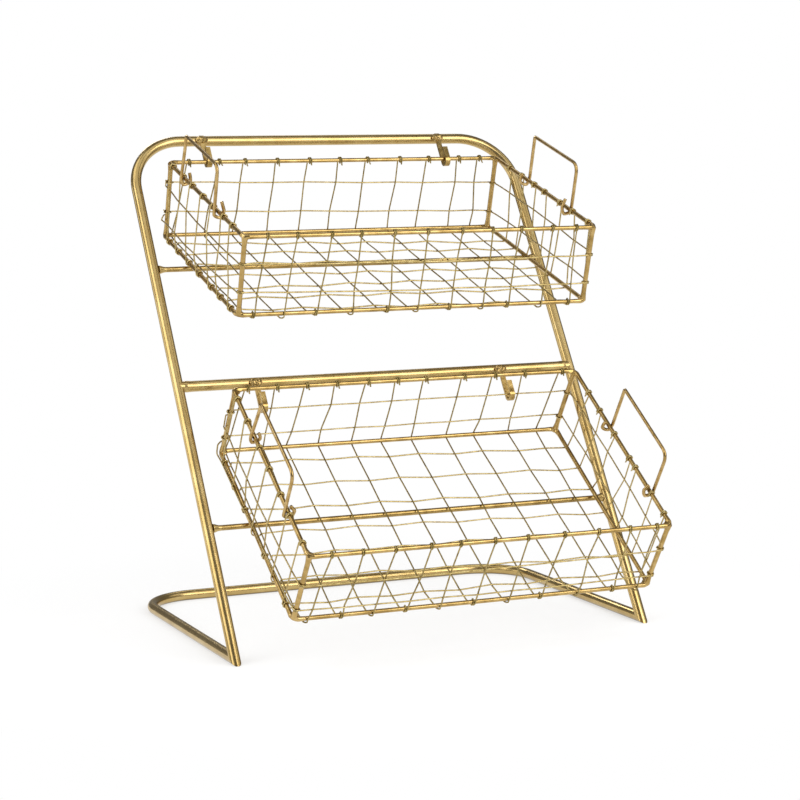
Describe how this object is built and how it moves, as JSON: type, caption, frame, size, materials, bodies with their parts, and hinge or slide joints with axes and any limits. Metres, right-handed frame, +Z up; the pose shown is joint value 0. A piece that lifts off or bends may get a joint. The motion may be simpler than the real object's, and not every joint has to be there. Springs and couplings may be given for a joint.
{
  "type": "tiered wire basket",
  "caption": "Leaning tube stand with wire mesh baskets hooked on one above the other at a tilt, each with bail handles that swing on its side rims.",
  "frame": {"origin": "on the floor, under the middle of the whole stand with its baskets", "axes": "+X across, to the right of someone facing the open front; +Y towards the back; +Z up"},
  "size_m": [0.41, 0.3806, 0.4562],
  "materials": {
    "frame_metal": "antique brass plate on steel tube, satin, brushed along the tube",
    "rod_metal": "antique brass plate on steel rod, satin, darker in the joints",
    "wire_metal": "antique brass plate on thin steel wire, satin, toned darker at the crossings",
    "handle_metal": "antique brass plate on steel wire, satin, worn brighter on the grip",
    "hook_metal": "antique brass plate on steel strip, satin",
    "weld_metal": "plated weld bead, uneven and a little darker"
  },
  "bodies": {
    "stand": {"frame_tube": "frame_metal", "base_tube": "frame_metal", "mid_bar": "frame_metal", "upper_rest_bar": "rod_metal", "lower_rest_bar": "rod_metal", "upper_left_hook": "hook_metal", "upper_right_hook": "hook_metal", "lower_left_hook": "hook_metal", "lower_right_hook": "hook_metal", "hook_welds": "weld_metal"},
    "upper_basket": {"upper_top_rim": "rod_metal", "upper_bottom_rim": "rod_metal", "upper_back_left_post": "rod_metal", "upper_back_right_post": "rod_metal", "upper_front_left_post": "rod_metal", "upper_front_right_post": "rod_metal", "upper_lengthwise_wires": "wire_metal", "upper_crosswise_wires": "wire_metal", "upper_hoop_wires": "wire_metal"},
    "upper_left_handle": {"upper_left_handle": "handle_metal"},
    "upper_right_handle": {"upper_right_handle": "handle_metal"},
    "lower_basket": {"lower_top_rim": "rod_metal", "lower_bottom_rim": "rod_metal", "lower_back_left_post": "rod_metal", "lower_back_right_post": "rod_metal", "lower_front_left_post": "rod_metal", "lower_front_right_post": "rod_metal", "lower_lengthwise_wires": "wire_metal", "lower_crosswise_wires": "wire_metal", "lower_hoop_wires": "wire_metal"},
    "lower_left_handle": {"lower_left_handle": "handle_metal"},
    "lower_right_handle": {"lower_right_handle": "handle_metal"}
  },
  "joints": [
    {"name": "upper_basket_lift", "type": "slide", "parent": "stand", "child": "upper_basket", "axis": [0, 0.5446, 0.8387], "range_m": [0, 0.02]},
    {"name": "upper_left_handle_turn", "type": "hinge", "parent": "upper_basket", "child": "upper_left_handle", "pos_m": [-0.167, 0.05876, 0.39999], "axis": [0, -0.9578, -0.2873], "range_deg": [-180, 150]},
    {"name": "upper_right_handle_turn", "type": "hinge", "parent": "upper_basket", "child": "upper_right_handle", "pos_m": [0.179, 0.04605, 0.39618], "axis": [0, 0.9578, 0.2873], "range_deg": [-180, 150]},
    {"name": "lower_basket_lift", "type": "slide", "parent": "stand", "child": "lower_basket", "axis": [0, 0.5446, 0.8387], "range_m": [0, 0.02]},
    {"name": "lower_left_handle_turn", "type": "hinge", "parent": "lower_basket", "child": "lower_left_handle", "pos_m": [-0.162, -0.10228, 0.16113], "axis": [0, -0.8329, -0.5535], "range_deg": [-180, 150]},
    {"name": "lower_right_handle_turn", "type": "hinge", "parent": "lower_basket", "child": "lower_right_handle", "pos_m": [0.184, -0.10964, 0.15624], "axis": [0, 0.8329, 0.5535], "range_deg": [-180, 150]}
  ]
}
